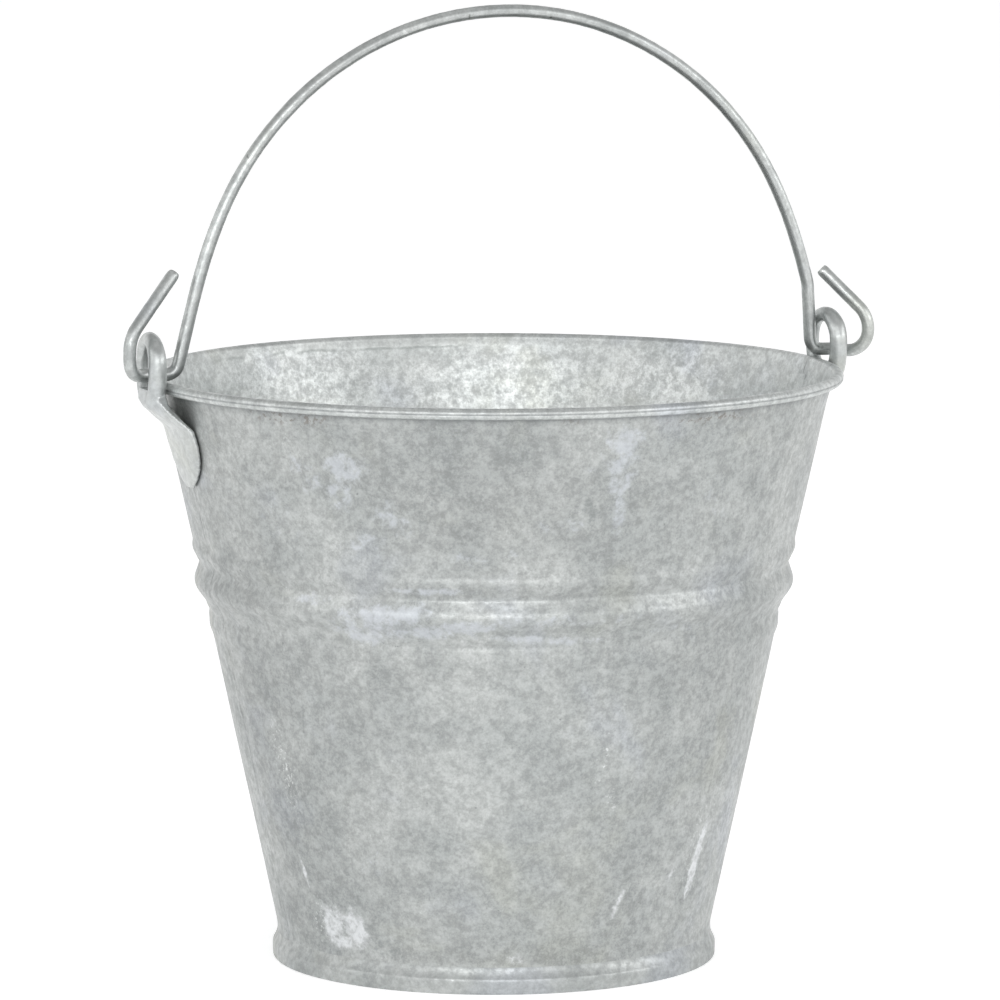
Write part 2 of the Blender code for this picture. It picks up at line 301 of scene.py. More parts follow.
def mesh_object(name, verts, faces):
    mesh = bpy.data.meshes.new(name)
    mesh.from_pydata([tuple(v) for v in verts], [], faces)
    mesh.update()
    made = bpy.data.objects.new(name, mesh)
    bpy.context.scene.collection.objects.link(made)
    return made


def face_outward(made, sharp=40):
    bm = bmesh.new()
    bm.from_mesh(made.data)
    bmesh.ops.recalc_face_normals(bm, faces=bm.faces)
    bm.to_mesh(made.data)
    bm.free()
    made.data.shade_smooth()
    made.data.set_sharp_from_angle(angle=radians(sharp))


def applied(made, *modifiers):
    """Bakes modifiers, each (type, settings), into the object's mesh."""
    for kind, settings in modifiers:
        modifier = made.modifiers.new(kind.lower(), kind)
        for key, value in settings.items():
            setattr(modifier, key, value)
    graph = bpy.context.evaluated_depsgraph_get()
    mesh = bpy.data.meshes.new_from_object(made.evaluated_get(graph))
    made.modifiers.clear()
    made.data = mesh


def joined(name, parts):
    """One mesh object from several, with their vertices in the order given."""
    bm = bmesh.new()
    for part in parts:
        bm.from_mesh(part.data)
    mesh = bpy.data.meshes.new(name)
    bm.to_mesh(mesh)
    bm.free()
    for part in parts:
        bpy.data.objects.remove(part, do_unlink=True)
    made = bpy.data.objects.new(name, mesh)
    bpy.context.scene.collection.objects.link(made)
    return made


def tube(name, centres, radii, sides, closed=False):
    """Round bar along centres, turned as little as possible from ring to ring."""
    centres = [Vector(c) for c in centres]
    count = len(centres)
    normal = None
    verts = []
    for i, centre in enumerate(centres):
        if closed:
            along = (centres[(i + 1) % count] - centres[i - 1]).normalized()
        else:
            along = (centres[min(i + 1, count - 1)] - centres[max(i - 1, 0)]).normalized()
        if normal is None:
            normal = along.orthogonal().normalized()
        normal = (normal - along * normal.dot(along)).normalized()
        across = along.cross(normal)
        for k in range(sides):
            a = 2 * pi * k / sides
            verts.append(centre + (normal * cos(a) + across * sin(a)) * radii[i])
    faces = ring_faces(count, sides, closed)
    if not closed:
        faces += end_caps(count, sides)
    return mesh_object(name, verts, faces)


def resampled(points, step):
    """The same path with evenly spaced points."""
    path = np.array(points, float)
    lengths = np.r_[0, np.cumsum(np.linalg.norm(np.diff(path, axis=0), axis=1))]
    count = int(round(lengths[-1] / step)) + 1
    even = np.linspace(0, lengths[-1], count)
    return np.column_stack([np.interp(even, lengths, path[:, k]) for k in range(3)])


def ring_faces(count, ring, closed=False):
    """Four-sided faces between count rings of vertices; closed joins the last ring to the first."""
    faces = []
    for i in range(count if closed else count - 1):
        n = (i + 1) % count
        for k in range(ring):
            m = (k + 1) % ring
            faces.append((i * ring + k, i * ring + m, n * ring + m, n * ring + k))
    return faces


def end_caps(count, ring):
    return [tuple(range(ring)), tuple((count - 1) * ring + k for k in range(ring))]


def eased(path, passes):
    """The path with its points drawn towards their neighbours; the ends stay."""
    path = path.copy()
    for _ in range(passes):
        path[1:-1] = path[1:-1] * 0.5 + (path[:-2] + path[2:]) * 0.25
    return path


def vertex_arrays(made):
    """Places and normals of a mesh's vertices, as they are now."""
    count = len(made.data.vertices)
    places = np.empty(count * 3)
    normals = np.empty(count * 3)
    made.data.vertices.foreach_get("co", places)
    made.data.vertices.foreach_get("normal", normals)
    return places.reshape(-1, 3), normals.reshape(-1, 3)


def set_places(made, places):
    made.data.vertices.foreach_set("co", places.ravel())
    made.data.update()


def smooth_step(low, high, value):
    t = np.clip((value - low) / (high - low), 0, 1)
    return t * t * (3 - 2 * t)


# ---------------------------------------------------------------- wall


def line_radius(z):
    return float(np.interp(z, [p[0] for p in WALL_LINE], [p[1] for p in WALL_LINE]))


def wall_radius(z):
    """Outside radius of the wall, with its pressed beads and grooves."""
    radius = line_radius(z)
    for middle, width, depth in BEADS:
        t = abs(z - middle) / (width / 2)
        if t < 1:
            radius += depth * cos(t * pi / 2) ** 2
    return radius


def wall_middle():
    """Middle line of the sheet, from the end of the curl, over it and down the wall, with normals
    that point to the wall's outer side."""
    sheet_r = CURL_R - SHEET / 2
    line = []
    for i in range(CURL_STEPS + 1):
        a = radians(CURL_END + (180 - CURL_END) * i / CURL_STEPS)
        line.append((RIM_R - CURL_R + sheet_r * cos(a), RIM_TOP - CURL_R + sheet_r * sin(a)))
    heights = [0.2330, 0.2320]
    z = 0.2310
    while z > WALL_LOW_Z + 0.0005:
        heights.append(z)
        z -= 0.0006 if BEAD_SPAN[0] < z < BEAD_SPAN[1] else 0.0015
    heights.append(WALL_LOW_Z)
    for z in heights:
        line.append((wall_radius(z) - SHEET / 2, z))
    line = np.array(line)
    start = CURL_STEPS - 2
    line[start:] = eased(line[start:], 2)
    along = np.gradient(line, axis=0)
    along /= np.linalg.norm(along, axis=1)[:, None]
    return line, np.column_stack([-along[:, 1], along[:, 0]])


def sized_noise(x, y, z, size, seed):
    """Noise from -1 to 1 whose features are about this size."""
    return noise.noise(Vector((x / size + seed, y / size, z / size - seed)))


def wall_dent(x, y, z):
    """How far the sheet stands out of true."""
    rim_dent = 0.00007 * sized_noise(x, y, 0.234, 0.05, 3.1)
    if z > CURL_FOOT_Z:
        return rim_dent
    rim = 1 - min(1, (CURL_FOOT_Z - z) / 0.012)
    deep = 0.00026 * sized_noise(x, y, z, 0.085, 7.7) + 0.00010 * sized_noise(x, y, z, 0.032, 1.3)
    deep += 0.000025 * sized_noise(x, y, z, 0.011, 5.9)
    foot = min(1, max(0, (z - 0.010) / 0.03))
    return deep * (1 - rim) * foot + rim * rim_dent


def mark_mask(places, table):
    """How strongly each place on the wall is marked, from 0 to 1; the inside has no marks."""
    strongest = np.zeros(len(places), np.float32)
    for angle, height, wide, tall, lean, strength in table:
        across = (places[:, 0] - radians(angle) * WALL_MEAN_R) * 1000
        up = places[:, 1] * 1000 - height
        c, s = cos(radians(lean)), sin(radians(lean))
        far = np.hypot((across * c + up * s) / (wide / 2), (up * c - across * s) / (tall / 2))
        strongest = np.maximum(strongest, strength * (1 - smooth_step(0.30, 1.50, far)))
    return (strongest * places[:, 2]).astype(np.float32)


def seam_strip(name, middle):
    """A folded strip of sheet down the inside of the wall, with rounded edges and an uneven face."""
    columns = 10
    rows = list(np.arange(SEAM_LOW_Z, SEAM_HIGH_Z, 0.0012)) + [SEAM_HIGH_Z]
    verts = []
    for z in rows:
        surface = wall_radius(z) - SHEET - 0.0001
        for k in range(columns + 1):
            side = 2 * k / columns - 1
            angle = middle + side * SEAM_WIDTH / 2 / surface
            rise = SEAM_DEPTH * (1 - abs(side) ** 6 * 0.55)
            rise += 0.00010 * noise.noise(Vector((side * 2, z * 160, middle)))
            end = min(1, (z - SEAM_LOW_Z) / 0.004, (SEAM_HIGH_Z - z) / 0.030)
            r = surface - max(rise * end, 0.0003)
            verts.append((r * cos(angle), r * sin(angle), z))
        for k in (columns, 0):
            side = 2 * k / columns - 1
            angle = middle + side * SEAM_WIDTH / 2 / surface
            verts.append(((surface + 0.0001) * cos(angle), (surface + 0.0001) * sin(angle), z))
    ring = columns + 3
    faces = ring_faces(len(rows), ring) + end_caps(len(rows), ring)
    return mesh_object(name, verts, faces)


def curl_degrees(count):
    """Degrees round the curl at each row of the sheet; rows down the wall run on past 180."""
    return CURL_END + (180 - CURL_END) * np.arange(count) / CURL_STEPS


def sheet_ring(line, normals, crease, angle, edge):
    """The sheet's section at an angle: down its outer face and back up its inner face.

    crease is how far each row's inner face sinks in, and edge the distance from the nearer seam.
    """
    c, s = cos(angle), sin(angle)
    step_in = -SEAM_STEP_IN * (1 - float(smooth_step(0.0030, 0.0060, edge)))
    outer = []
    inner = []
    for i, ((r, z), (nr, nz)) in enumerate(zip(line, normals)):
        shift = wall_dent(r * c, r * s, z)
        if i > CURL_STEPS + 4:
            shift += step_in * min(1, max(0, (0.228 - z) / 0.006), max(0, (z - 0.009) / 0.006))
        out_r = r + nr * SHEET / 2 + shift
        outer.append((out_r * c, out_r * s, z + nz * SHEET / 2))
        reach = SHEET / 2 - crease[i]
        in_r = r - nr * reach + shift
        inner.append((in_r * c, in_r * s, z - nz * reach))
    return outer + inner[::-1]


def painted_rim_shade(line):
    """How much painted shade each vertex of the sheet's section takes: in the curl's crease and under
    its edge.
    """
    rows = len(line)
    around = curl_degrees(rows)
    # Painted shade: dark in the curl's crease and on its underside, and a painted shadow line on the
    # wall just under the rim.
    inner = np.exp(-(((around - CREASE_ANGLE) / CREASE_WIDTH) ** 2)) + smooth_step(-45, -85, around)
    inner[CURL_STEPS + 1 :] = 0.0
    outer = smooth_step(0.2302, 0.2318, line[:, 1]) * (np.arange(rows) > CURL_STEPS)
    return np.r_[outer * 0.75, inner[::-1]]


def add_layer(made, label, values):
    made.data.attributes.new(label, "FLOAT", "POINT").data.foreach_set("value", values)


def wall_half(name, node, start):
    """Half of the wall as one closed sheet, from one seam to the other."""
    line, normals = wall_middle()
    rows = len(line)
    joint = GAP / 2 / WALL_MEAN_R
    angles = np.linspace(start + joint, start + pi - joint, WALL_STEPS + 1)
    crease = CREASE_DEPTH * np.exp(-(((curl_degrees(rows) - CREASE_ANGLE) / CREASE_WIDTH) ** 2))
    crease[CURL_STEPS + 1 :] = 0.0
    verts = []
    places = []  # (length round the wall, height, 1 outside or 0 inside) of each vertex
    for angle in angles:
        edge = min(angle - angles[0], angles[-1] - angle) * WALL_MEAN_R
        verts += sheet_ring(line, normals, crease, angle, edge)
        turned = (angle + pi) % (2 * pi) - pi
        if abs(abs(turned) - pi) < 0.01:
            turned = -pi if start > 1 else pi
        places += [(turned * WALL_MEAN_R, z, 1.0) for _, z in line]
        places += [(turned * WALL_MEAN_R, z, 0.0) for _, z in line[::-1]]
    ring = 2 * rows
    faces = ring_faces(WALL_STEPS + 1, ring)
    for j in (0, WALL_STEPS):
        for i in range(rows - 1):
            k = ring - 1 - i
            faces.append((j * ring + i, j * ring + i + 1, j * ring + k - 1, j * ring + k))
    wall = mesh_object(name + "_sheet", verts, faces)
    fold = seam_strip(name + "_fold", start)
    places += [(start * WALL_MEAN_R, v.co.z, 0.0) for v in fold.data.vertices]
    made = joined(name, (wall, fold))

    places = np.array(places, np.float32)
    place = made.data.attributes.new("place", "FLOAT_VECTOR", "POINT")
    place.data.foreach_set("vector", places.ravel())
    add_layer(made, "tone", mark_mask(places, LIGHTER_AND_PAINTED_LIGHT) - mark_mask(places, DARKER_AND_PAINTED_SHADE))
    # The rim's painted shade, carried in the crease layer.
    rim_shade = np.tile(painted_rim_shade(line), WALL_STEPS + 1)
    add_layer(made, "crease", np.r_[rim_shade, np.zeros(len(places) - len(rim_shade))])
    for label, table in MARKS.items():
        add_layer(made, label, mark_mask(places, table))
    face_outward(made, 60)
    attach(made, "bucket")
    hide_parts(node)
    return made


# ---------------------------------------------------------------- foot and bottom


def turned_section(name, profile, steps, wobble=0.0, cut=None):
    """A closed section of (radius, height) pairs turned about Z; cut is the angle of a lap's edge."""
    verts = []
    for j in range(steps):
        angle = 2 * pi * j / steps
        for r, z in profile:
            shift = wobble * noise.noise(Vector((cos(angle) * 3, sin(angle) * 3, z * 90)))
            if cut is not None:
                off = ((angle - cut + pi) % (2 * pi) - pi) * r
                shift -= 0.00035 * np.exp(-((off / 0.0005) ** 2))
            verts.append(((r + shift) * cos(angle), (r + shift) * sin(angle), z))
    return mesh_object(name, verts, ring_faces(steps, len(profile), True))


def make_hoop():
    """The foot hoop: zinc feathers its top edge into the wall, and its lip turns in below."""
    feather_r = HOOP_INNER_R - 0.0004  # inside the wall's own surface
    section = [(feather_r, HOOP_TOP_Z)]
    for t in np.linspace(0.0, 1.0, 12):  # hollow flare from the wall down to the edge
        section.append((feather_r + 0.0017 * t**1.5, HOOP_TOP_Z - 0.0046 * t))
    section += [(HOOP_R - 0.00005, 0.0055), (HOOP_R, 0.0047)]
    section += [(HOOP_R - 0.00005, 0.0028), (HOOP_R - 0.0001, 0.0012)]
    for a in range(15, 91, 15):
        turn = radians(a)
        section.append((HOOP_R - 0.0001 - 0.0009 * (1 - cos(turn)), 0.0009 * (1 - sin(turn))))
    section += [(HOOP_LIP_R + 0.0003, 0.0), (HOOP_LIP_R, 0.0003), (HOOP_LIP_R, HOOP_LIP - 0.0001)]
    section += [(HOOP_LIP_R + 0.0002, HOOP_LIP), (HOOP_INNER_R, HOOP_LIP), (feather_r, 0.0080)]
    made = turned_section("foot_hoop_rolled", section, 360, 0.00006, radians(78))
    face_outward(made, 50)
    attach(made, "bucket")
    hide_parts("foot_hoop")
    return made


def make_bottom():
    """The domed bottom with its flange turned down, and a faint pressed ring near its edge."""
    middle = [(0.0003, BOTTOM_Z + BOTTOM_DOME)]
    flat_r = BOTTOM_R - BOTTOM_CORNER
    for part in np.linspace(0.03, 1.0, 34):
        ring = 0.00035 * np.exp(-(((part - 0.86) / 0.02) ** 2))
        middle.append((flat_r * part, BOTTOM_Z + BOTTOM_DOME * (1 - part**2) - ring))
    for a in range(75, -1, -15):
        c, s = cos(radians(a)), sin(radians(a))
        middle.append((flat_r + BOTTOM_CORNER * c, BOTTOM_Z - BOTTOM_CORNER * (1 - s)))
    middle.append((BOTTOM_R, BOTTOM_LOW_Z))
    middle = np.array(middle)
    along = np.gradient(middle, axis=0)
    along /= np.linalg.norm(along, axis=1)[:, None]
    normals = np.column_stack([-along[:, 1], along[:, 0]])
    upper = middle + normals * SHEET / 2
    lower = middle - normals * SHEET / 2
    section = [tuple(p) for p in upper] + [tuple(p) for p in lower[::-1]]
    made = turned_section("bottom_pressed", [(max(r, 0.0002), z) for r, z in section], 240)
    for vert in made.data.vertices:
        x, y, z = vert.co
        inside = 1 - smooth_step(0.070, 0.082, sqrt(x * x + y * y))
        vert.co.z += 0.00035 * inside * noise.noise(Vector((x * 22, y * 22, 4.0)))
    bm = bmesh.new()
    bm.from_mesh(made.data)
    for top in (True, False):
        hub = [v for v in bm.verts if v.co.xy.length < 0.0012 and (v.co.z > 0.0114) == top]
        if hub:
            bmesh.ops.pointmerge(bm, verts=hub, merge_co=(0, 0, hub[0].co.z))
    bm.to_mesh(made.data)
    bm.free()
    face_outward(made, 50)
    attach(made, "bucket")
    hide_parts("bottom_disc")
    return made


# ---------------------------------------------------------------- ears


def leaf_inner_radius(z):
    """Radius of the ear's inner face: straight past the rim, then in to the wall and down it."""
    on_wall = line_radius(z) + GAP
    if z >= NECK_Z:
        return NECK_INNER_R
    if z <= LEAF_Z:
        return on_wall
    t = (z - LEAF_Z) / (NECK_Z - LEAF_Z)
    return on_wall + (NECK_INNER_R - on_wall) * t


def leaf_sheet(name):
    """The neck and leaf at +X: a loft from a thick narrow neck to a thin wide leaf."""
    heights = [row[0] for row in LEAF_ROWS][::-1]
    thicks = [row[1] for row in LEAF_ROWS][::-1]
    widths = [row[2] for row in LEAF_ROWS][::-1]
    rows = np.linspace(heights[-1], heights[0], 54)
    table = eased(
        np.column_stack([rows, np.interp(rows, heights, thicks), np.interp(rows, heights, widths)]), 6
    )
    columns = 26
    verts = []
    for z, thick, half_width in table:
        inner_r = leaf_inner_radius(z)
        outer = []
        inner = []
        for k in range(columns + 1):
            side = 2 * k / columns - 1
            angle = side * half_width / inner_r
            depth = thick * (1 - 0.42 * side**4)
            outer.append(((inner_r + depth) * cos(angle), (inner_r + depth) * sin(angle), z))
            inner.append((inner_r * cos(angle), inner_r * sin(angle), z))
        verts += outer + inner[::-1]
    ring = 2 * (columns + 1)
    made = mesh_object(name, verts, ring_faces(len(table), ring) + end_caps(len(table), ring))
    face_outward(made)
    return made


def make_ear(name, node, turn, twist, near_side):
    """One forged ear. near_side is the side, along the loop, whose limb is left thick."""
    leaf = leaf_sheet(name + "_leaf")
    centres = []
    radii = []
    count = 120
    for i in range(count):
        a = 2 * pi * i / count
        reach = LOOP_RISE if sin(a) > 0 else LOOP_DROP
        side = cos(a) * near_side
        low = max(0.0, -sin(a))
        y = LOOP_HALF_WIDTH * cos(a) * (1 + 0.15 * low)
        if side > 0:
            y *= side ** (-0.45 * low)
        z = LOOP_MIDDLE_Z + reach * sin(a)
        centres.append((EAR_X - y * sin(twist), y * cos(twist), z))
        radii.append(EAR_ROD_R * (1.10 + 0.17 * side + 0.10 * low + 0.02 * sin(3 * a + 1.0)))
    loop = tube(name + "_loop", centres, radii, 28, True)
    face_outward(loop)
    made = joined(name, (leaf, loop))
    made.rotation_euler.z = turn
    bpy.context.view_layer.update()
    made.data.transform(made.matrix_world)
    made.rotation_euler.z = 0
    made.data.shade_smooth()
    applied(
        made,
        ("REMESH", {"mode": "VOXEL", "voxel_size": EAR_VOXEL, "use_smooth_shade": True}),
        ("SMOOTH", {"factor": 0.5, "iterations": 5}),
    )
    places, normals = vertex_arrays(made)
    waves = [0.00010 * noise.noise(Vector(place) * 240) for place in places]
    set_places(made, places + normals * np.array(waves)[:, None])
    made.data.shade_smooth()
    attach(made, "bucket")
    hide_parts(node)
    return made


# ---------------------------------------------------------------- bail


def arch_half(step=0.0020):
    """The bail's arch, as (x, height), from its top to the leg: round, then easing straight."""
    x = 0.0
    z = BAIL_TOP_Z
    points = [(x, z)]
    s = 0.0
    while z > LEG_LOW_Z:
        along = s + step / 2
        ease = min(max(along - ARCH_ROUND, 0.0), ARCH_EASE)
        heading = (min(along, ARCH_ROUND) + ease - ease**2 / (2 * ARCH_EASE)) / ARCH_R
        x += step * cos(heading)
        z -= step * sin(heading)
        s += step
        points.append((x, z))
    return points


def rounded(start, corners, steps=12):
    """Points from start through the corners, each corner replaced by an arc of its radius."""
    places = [Vector(start)] + [Vector(c[:3]) for c in corners]
    points = []
    for i in range(1, len(places) - 1):
        back = (places[i - 1] - places[i]).normalized()
        ahead = (places[i + 1] - places[i]).normalized()
        radius = corners[i - 1][3]
        half_angle = back.angle(ahead) / 2
        cut = radius / tan(half_angle)
        centre = places[i] + (back + ahead).normalized() * radius / sin(half_angle)
        first = places[i] + back * cut - centre
        last = places[i] + ahead * cut - centre
        for k in range(steps + 1):
            t = k / steps
            spoke = (first * (1 - t) + last * t).normalized() * radius
            points.append(tuple(centre + spoke))
    points.append(tuple(places[-1]))
    return points


def make_bail():
    """The bail: one wire from hook tip to hook tip, its ends cut slightly rounded."""
    half = arch_half()
    left = [(BAIL_SHIFT - x, 0.0, z) for x, z in half]
    right = [(BAIL_SHIFT + x, 0.0, z) for x, z in half]
    left += rounded(left[-1], LEFT_END)
    right += rounded(right[-1], RIGHT_END)
    path = eased(resampled(left[::-1] + right[1:], BAIL_STEP), 3)
    radii = []
    for i in range(len(path)):
        thinner = 0.012 * (1 - noise.noise(Vector((i * 0.031, 2.0, 5.0))))
        radii.append(WIRE_R * (1 - thinner))
    for i, part in enumerate((0.80, 0.95)):
        radii[i] = WIRE_R * part
        radii[-1 - i] = WIRE_R * part
    made = tube("bail_wire", path, radii, 28)
    face_outward(made, 50)
    places, normals = vertex_arrays(made)
    waves = [
        0.00007 * (noise.noise(Vector(place) * 330) + noise.noise(Vector(place) * 90))
        for place in places
    ]
    set_places(made, places + normals * np.minimum(waves, 0.00002)[:, None])
    face_outward(made, 50)
    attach(made, "bail")
    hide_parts("bail")
    return made


# ---------------------------------------------------------------- materials


class Finish:
    """A Principled material, with short ways to add the nodes that drive it."""

    def __init__(self, name):
        self.material = bpy.data.materials.new(name)
        self.material.use_nodes = True
        self.tree = self.material.node_tree
        self.shader = self.tree.nodes["Principled BSDF"]
        self.object = self.node("ShaderNodeTexCoord").outputs["Object"]

    def node(self, kind, **settings):
        made = self.tree.nodes.new(kind)
        for key, value in settings.items():
            setattr(made, key, value)
        return made

    def put(self, socket, value):
        if isinstance(value, bpy.types.NodeSocket):
            self.tree.links.new(value, socket)
        elif isinstance(value, tuple) and len(value) == 3 and socket.type == "RGBA":
            socket.default_value = (*value, 1.0)
        else:
            socket.default_value = value

    def maths(self, operation, first, second=0.0, third=None):
        made = self.node("ShaderNodeMath", operation=operation)
        self.put(made.inputs[0], first)
        self.put(made.inputs[1], second)
        if third is not None:
            self.put(made.inputs[2], third)
        return made.outputs[0]

    def noise(self, size, detail=3.0, rough=0.5, coord=None, distortion=0.0, offset=0.0):
        """Noise whose features are about this size in metres."""
        made = self.node("ShaderNodeTexNoise", noise_dimensions="4D")
        self.put(made.inputs["Vector"], self.object if coord is None else coord)
        made.inputs["W"].default_value = offset
        made.inputs["Scale"].default_value = 1 / size
        made.inputs["Detail"].default_value = detail
        made.inputs["Roughness"].default_value = rough
        made.inputs["Distortion"].default_value = distortion
        return made.outputs[0]

    def step(self, value, low, high, bottom=0.0, top=1.0):
        """bottom below low, top above high, and a smooth change between them."""
        made = self.node("ShaderNodeMapRange", interpolation_type="SMOOTHSTEP")
        for key, number in (("From Min", low), ("From Max", high), ("To Min", bottom), ("To Max", top)):
            made.inputs[key].default_value = number
        self.put(made.inputs["Value"], value)
        return made.outputs[0]

    def mix(self, amount, first, second, blend="MIX"):
        made = self.node("ShaderNodeMix", data_type="RGBA", blend_type=blend)
        self.put(made.inputs[0], amount)
        self.put(made.inputs[6], first)
        self.put(made.inputs[7], second)
        return made.outputs[2]

    def named(self, label):
        return self.node("ShaderNodeAttribute", attribute_name=label).outputs["Fac"]

    def marked(self, label, ragged, reach):
        """A mark's mask from the mesh, its edges broken up by noise."""
        mask = self.named(label)
        push = self.maths("MULTIPLY_ADD", ragged, reach, -0.5 * reach)
        broken = self.step(self.maths("ADD", mask, push), 0.16, 0.62)
        return self.maths("MULTIPLY", broken, self.step(mask, 0.01, 0.16))

    def scaled(self, coord, scale):
        made = self.node("ShaderNodeMapping", vector_type="POINT")
        self.put(made.inputs["Vector"], coord)
        made.inputs["Scale"].default_value = scale
        return made.outputs[0]

    def warped(self, coord, size, amount):
        """Coordinates pushed about by noise, so that marks have ragged edges."""
        made = self.node("ShaderNodeTexNoise")
        self.put(made.inputs["Vector"], coord)
        made.inputs["Scale"].default_value = 1 / size
        made.inputs["Detail"].default_value = 4.0
        centred = self.node("ShaderNodeVectorMath", operation="SUBTRACT")
        self.put(centred.inputs[0], made.outputs["Color"])
        centred.inputs[1].default_value = (0.5, 0.5, 0.5)
        pushed = self.node("ShaderNodeVectorMath", operation="MULTIPLY_ADD")
        self.put(pushed.inputs[0], centred.outputs[0])
        pushed.inputs[1].default_value = (amount, amount, 0.0)
        self.put(pushed.inputs[2], coord)
        return pushed.outputs[0]

    def blob(self, coord, angle, height, wide, tall, lean):
        """A mask round a place on the wall: angle and lean in degrees, the rest in millimetres."""
        mapping = self.node("ShaderNodeMapping", vector_type="TEXTURE")
        self.put(mapping.inputs["Vector"], coord)
        mapping.inputs["Location"].default_value = (radians(angle) * WALL_MEAN_R, height / 1000, 0.0)
        mapping.inputs["Rotation"].default_value = (0.0, 0.0, radians(lean))
        mapping.inputs["Scale"].default_value = (wide / 2000, tall / 2000, 1.0)
        length = self.node("ShaderNodeVectorMath", operation="LENGTH")
        self.put(length.inputs[0], mapping.outputs[0])
        return self.step(length.outputs["Value"], 0.5, 1.15, 1.0, 0.0)

    def finish_with(self, colour, roughness, height, strength):
        self.shader.inputs["Metallic"].default_value = METALLIC
        self.put(self.shader.inputs["Base Color"], colour)
        self.put(self.shader.inputs["Roughness"], roughness)
        bump = self.node("ShaderNodeBump")
        bump.inputs["Strength"].default_value = strength
        bump.inputs["Distance"].default_value = ZINC_BUMP
        self.put(bump.inputs["Height"], height)
        self.put(self.shader.inputs["Normal"], bump.outputs[0])
        return self.material


def zinc_base(finish, tone, seed, mottle):
    """Weathered zinc: its colour, in grey greens and lilac greys, and its clouds and flakes."""
    clouds = finish.noise(0.030, 5.0, 0.62, distortion=0.25, offset=seed)
    flakes = finish.noise(0.0034, 8.0, 0.76, distortion=0.1, offset=seed + 3)
    fine = finish.noise(0.0009, 3.0, 0.65, offset=seed + 5)
    tints = finish.noise(0.048, 4.0, 0.55, distortion=0.4, offset=seed + 8)
    low = tuple(c * tone for c in (0.412, 0.432, 0.428))
    high = tuple(c * tone for c in (0.508, 0.526, 0.518))
    mean = finish.mix(finish.step(clouds, 0.36, 0.64), low, high)
    lilac = tuple(c * tone for c in (0.462, 0.488, 0.525))
    beige = tuple(c * tone for c in (0.475, 0.490, 0.455))
    mean = finish.mix(finish.step(tints, 0.54, 0.70, 0.0, 0.50), mean, lilac)
    mean = finish.mix(finish.step(tints, 0.46, 0.32, 0.0, 0.55), mean, beige)
    shade = finish.step(flakes, 0.39, 0.62, 1.0 - 0.14 * mottle, 1.0 + 0.13 * mottle)
    grain = finish.step(fine, 0.30, 0.70, 1.0 - 0.06 * mottle, 1.0 + 0.06 * mottle)
    value = finish.maths("MULTIPLY", shade, grain)
    return finish.mix(1.0, mean, value, "MULTIPLY"), clouds, flakes


def plain_zinc(name, tone, seed, rough=(0.36, 0.52), pits=0.0, mottle=1.0):
    """The finish of the smaller pieces; rough is the roughness of the flakes' shiny and dull parts."""
    finish = Finish(name)
    colour, _, flakes = zinc_base(finish, tone, seed, mottle)
    if pits:
        spots = finish.noise(0.0042, 2.0, 0.5, offset=seed + 11)
        dark = finish.step(spots, 0.70, 0.76, 0.0, pits)
        colour = finish.mix(dark, colour, (0.12, 0.125, 0.12))
        light = finish.step(spots, 0.30, 0.24, 0.0, 0.45)
        colour = finish.mix(light, colour, (0.80, 0.82, 0.81))
    roughness = finish.step(flakes, 0.35, 0.65, rough[1], rough[0])
    return finish.finish_with(colour, roughness, flakes, 0.4)


def thin_marks(finish, coord, table):
    """The strongest of a table of marks too thin for the mesh to carry."""
    total = 0.0
    for angle, height, wide, tall, lean, strength in table:
        spot = finish.blob(coord, angle, height, wide, tall, lean)
        total = finish.maths("MAXIMUM", finish.maths("MULTIPLY", spot, strength), total)
    return total


def marked_zinc(finish, colour, place, outer, clouds, edges, crisp):
    """The wall's colour with its pale and dark marks, white rust, specks, grime, pits and the painted
    shade of the rim's crease.
    """
    ragged = finish.warped(place, 0.0060, 0.0046)
    specks = finish.step(finish.noise(0.0016, 4.0, 0.65, offset=80.0), 0.55, 0.62)
    pale = finish.maths("MULTIPLY", finish.marked("pale", edges, 2.4), 0.55)
    thin_pale = finish.maths("MULTIPLY", thin_marks(finish, ragged, THIN_PALE), outer)
    colour = finish.mix(finish.maths("MAXIMUM", pale, thin_pale), colour, PALE_COLOUR)
    dark = finish.maths("MULTIPLY", finish.marked("dark", crisp, 2.0), 0.52)
    thin_dark = finish.maths("MULTIPLY", thin_marks(finish, ragged, THIN_DARK), outer)
    colour = finish.mix(finish.maths("MAXIMUM", dark, thin_dark), colour, DARK_COLOUR)
    rust = finish.maths("MULTIPLY", finish.marked("rust", edges, 2.2), 0.80)
    rust = finish.maths("MULTIPLY", rust, finish.step(crisp, 0.38, 0.58, 0.55, 1.0))
    colour = finish.mix(rust, colour, RUST_COLOUR)
    scattered = finish.step(clouds, 0.52, 0.70, 0.04, 0.24)
    speckled = finish.maths("MAXIMUM", finish.named("speckled"), scattered)
    colour = finish.mix(finish.maths("MULTIPLY", speckled, specks), colour, SPECK_COLOUR)

    # Dark dots of grime below the rim, fine dark pits everywhere, and painted shade in the rim's crease
    # with a painted shadow under the rim.
    dots = finish.step(finish.noise(0.0021, 3.0, 0.6, offset=90.0), 0.52, 0.60)
    colour = finish.mix(finish.maths("MULTIPLY", finish.named("grime"), dots), colour, GRIME_COLOUR)
    pits = finish.step(finish.noise(0.0034, 3.0, 0.6, offset=95.0), 0.70, 0.75, 0.0, 0.55)
    colour = finish.mix(pits, colour, PIT_COLOUR)
    broken = finish.step(crisp, 0.30, 0.60, 0.45, 0.80)
    return finish.mix(finish.maths("MULTIPLY", finish.named("crease"), broken), colour, CREASE_SHADE_COLOUR)


